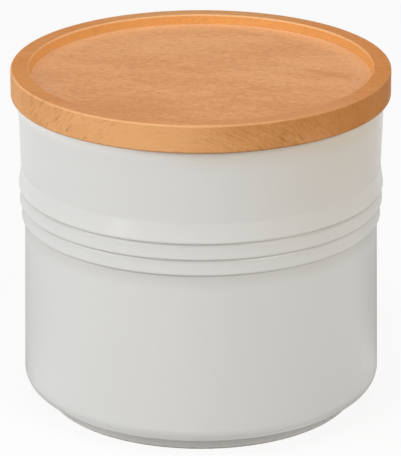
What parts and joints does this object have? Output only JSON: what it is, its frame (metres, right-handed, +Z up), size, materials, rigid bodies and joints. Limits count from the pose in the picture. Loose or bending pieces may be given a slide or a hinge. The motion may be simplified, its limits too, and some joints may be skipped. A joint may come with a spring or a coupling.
{
  "type": "storage canister",
  "caption": "Squat round stoneware storage crock with a banded wall and a foot ring, closed by a turned wooden lid with a tray top and a silicone seal round its plug.",
  "frame": {"origin": "centre of the foot ring, on the surface the canister stands on", "axes": "+Z up along the turning axis, from the foot to the lid; -Y towards the viewer of the picture; the lid's grain runs near the X axis at rest"},
  "size_m": [0.146, 0.146, 0.134],
  "materials": {
    "glazed_stoneware": "glossy off-white glaze",
    "beech": "oiled satin",
    "silicone": "matt translucent white"
  },
  "bodies": {
    "crock": {"crock": "glazed_stoneware"},
    "seal": {"seal": "silicone"},
    "lid": {"lid": "beech"}
  },
  "joints": [
    {"name": "lid_lift", "type": "slide", "parent": "crock", "child": "seal", "axis": [0, 0, 1], "range_m": [0, 0.09]},
    {"name": "lid_turn", "type": "hinge", "parent": "seal", "child": "lid", "pos_m": [0, 0, 0.1232], "axis": [0, 0, 1], "continuous": true}
  ]
}
